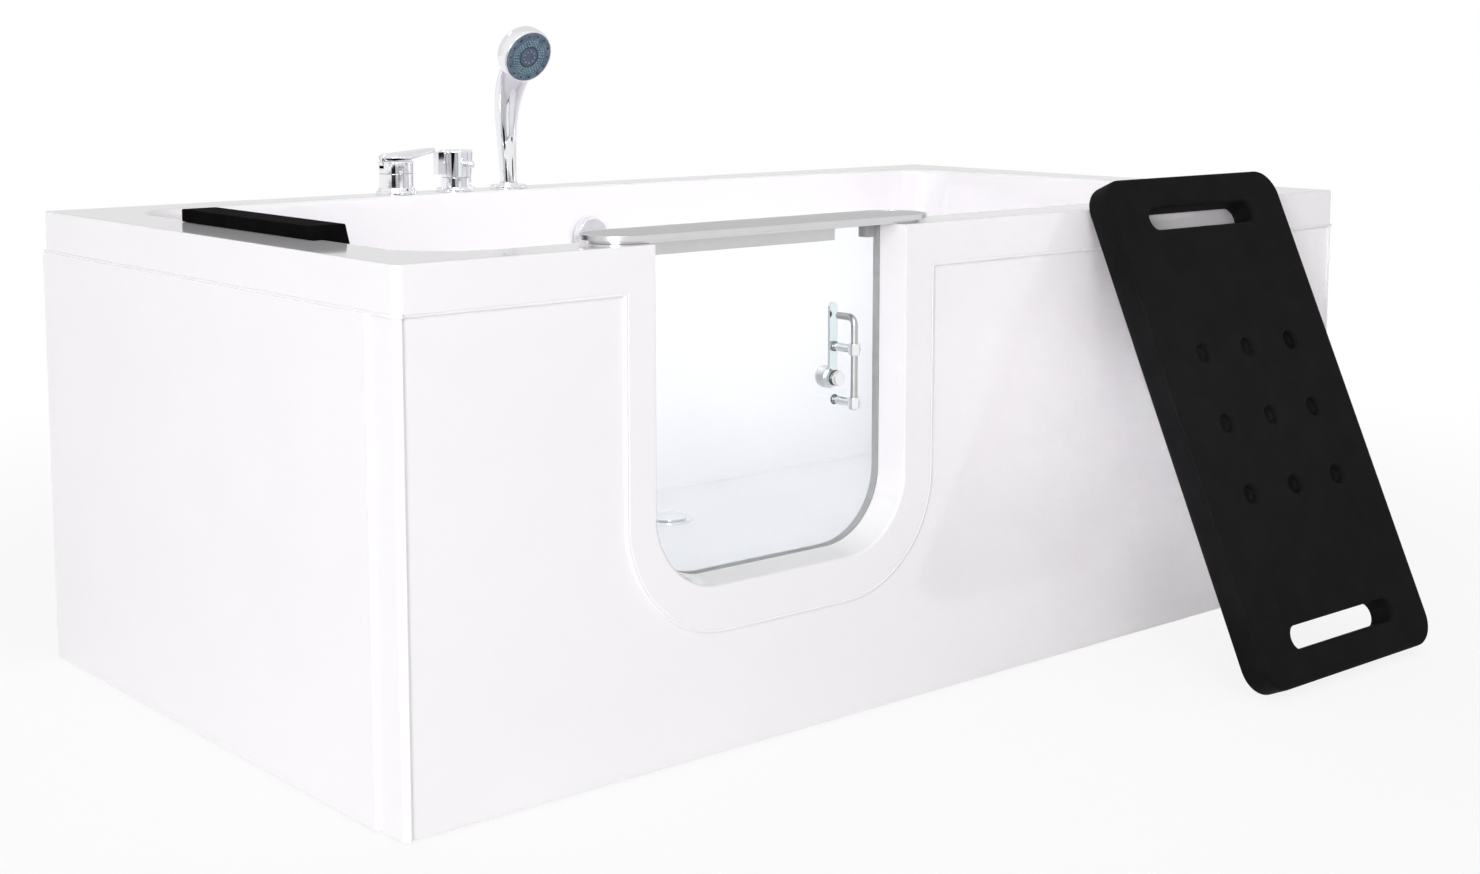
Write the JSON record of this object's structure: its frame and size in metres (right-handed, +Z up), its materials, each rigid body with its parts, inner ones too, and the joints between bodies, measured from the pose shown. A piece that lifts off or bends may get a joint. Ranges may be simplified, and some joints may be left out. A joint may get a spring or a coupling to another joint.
{
  "type": "walk in bathtub with door",
  "caption": "White walk-in bathtub with an inward-swinging glass door under a cap rail, deck-mounted taps and hand shower, a black head pillow and a perforated board leaning on the rim.",
  "frame": {"origin": "middle of the bath's footprint on the floor, under the middle foot", "axes": "+X along the bath from the head end to the foot end, +Y from the apron to the wall side, +Z up"},
  "size_m": [1.71, 1.2463, 0.8788],
  "materials": {
    "acrylic": "gloss",
    "base_wood": "raw board",
    "frame_steel": "grey paint",
    "black_rubber": "matt",
    "zinc_steel": "zinc plated",
    "black_plastic": "matt",
    "satin_aluminium": "satin anodised",
    "bright_chrome": "polished",
    "screw_steel": "stainless",
    "clear_glass": "clear toughened",
    "white_nylon": "moulded",
    "pipe_plastic": "moulded",
    "copper_pipe": "drawn copper",
    "brass_nut": "turned",
    "spray_plastic": "moulded",
    "black_foam": "matt skin of a foamed polyurethane"
  },
  "bodies": {
    "tub": {"tub_shell": "acrylic", "door_surround": "acrylic", "front_apron": "acrylic", "left_end_panel": "acrylic", "right_end_panel": "acrylic", "base_board": "base_wood", "long_rails": "frame_steel", "cross_rails": "frame_steel", "end_rails": "frame_steel", "rim_uprights": "frame_steel", "foot_pads": "black_rubber", "foot_studs": "zinc_steel", "foot_nuts": "zinc_steel", "panel_clips": "black_plastic", "cap_rail": "satin_aluminium", "cap_trim": "bright_chrome", "hinge_rod": "bright_chrome", "hinge_brackets": "bright_chrome", "bracket_screws": "screw_steel", "keeper": "bright_chrome", "keeper_screws": "screw_steel", "overflow_plate": "bright_chrome", "overflow_elbow": "pipe_plastic", "overflow_pipe": "pipe_plastic", "lift_cable": "black_plastic", "waste_flange": "bright_chrome", "waste_gasket": "black_rubber", "waste_body": "pipe_plastic", "waste_trap": "pipe_plastic", "mixer_body": "bright_chrome", "mixer_tails": "copper_pipe", "diverter_body": "bright_chrome", "tap_nuts": "brass_nut", "link_pipe": "copper_pipe", "fill_pipe": "copper_pipe", "shower_holder": "bright_chrome"},
    "door_leaf": {"door_glass": "clear_glass", "door_seal": "black_rubber", "hinge_stile": "satin_aluminium", "stile_screws": "screw_steel", "top_channel": "satin_aluminium", "end_block": "black_rubber", "spindle_bush": "white_nylon", "pull_bar": "bright_chrome", "bar_clamps": "bright_chrome", "clamp_bolts": "bright_chrome"},
    "latch": {"latch_spindle": "bright_chrome", "latch_arm": "bright_chrome", "latch_knob": "bright_chrome"},
    "overflow_control": {"overflow_knob": "bright_chrome"},
    "plug": {"popup_plug": "bright_chrome"},
    "mixer_turret": {"mixer_cap": "bright_chrome", "lever_pin": "screw_steel"},
    "lever": {"mixer_lever": "bright_chrome"},
    "diverter": {"diverter_handle": "bright_chrome"},
    "handset": {"shower_handset": "bright_chrome", "spray_face": "spray_plastic"},
    "pillow": {"bath_pillow": "black_foam"},
    "board": {"bath_board": "black_foam"}
  },
  "joints": [
    {"name": "door_swing", "type": "hinge", "parent": "tub", "child": "door_leaf", "pos_m": [-0.53, -0.4027, 0.45], "axis": [0, 0, 1], "range_deg": [0, 90]},
    {"name": "latch_turn", "type": "hinge", "parent": "door_leaf", "child": "latch", "pos_m": [-0.166, -0.3947, 0.432], "axis": [0, 1, 0], "range_deg": [0, 90]},
    {"name": "overflow_turn", "type": "hinge", "parent": "tub", "child": "overflow_control", "pos_m": [0.022, 0.38, 0.548], "axis": [0, -1, 0], "range_deg": [0, 90]},
    {"name": "plug_rise", "type": "slide", "parent": "tub", "child": "plug", "axis": [0, 0, 1], "range_m": [0, 0.01]},
    {"name": "mixer_turn", "type": "hinge", "parent": "tub", "child": "mixer_turret", "pos_m": [-0.312, 0.422, 0.67], "axis": [0, 0, 1], "range_deg": [-45, 45]},
    {"name": "lever_lift", "type": "hinge", "parent": "mixer_turret", "child": "lever", "pos_m": [-0.332, 0.422, 0.6773], "axis": [0, -1, 0], "range_deg": [0, 25]},
    {"name": "diverter_turn", "type": "hinge", "parent": "tub", "child": "diverter", "pos_m": [-0.204, 0.422, 0.67], "axis": [0, 0, 1], "range_deg": [-60, 60]},
    {"name": "handset_lift", "type": "slide", "parent": "tub", "child": "handset", "axis": [0, 0, 1], "range_m": [0, 0.3]},
    {"name": "pillow_lift", "type": "slide", "parent": "tub", "child": "pillow", "axis": [0, 0, 1], "range_m": [0, 0.15]},
    {"name": "board_lift", "type": "slide", "parent": "tub", "child": "board", "axis": [0, 0, 1], "range_m": [0, 0.5]}
  ],
  "couplings": [
    {"joint": "plug_rise", "follows": "overflow_turn", "m_per_rad": 0.0063662}
  ]
}
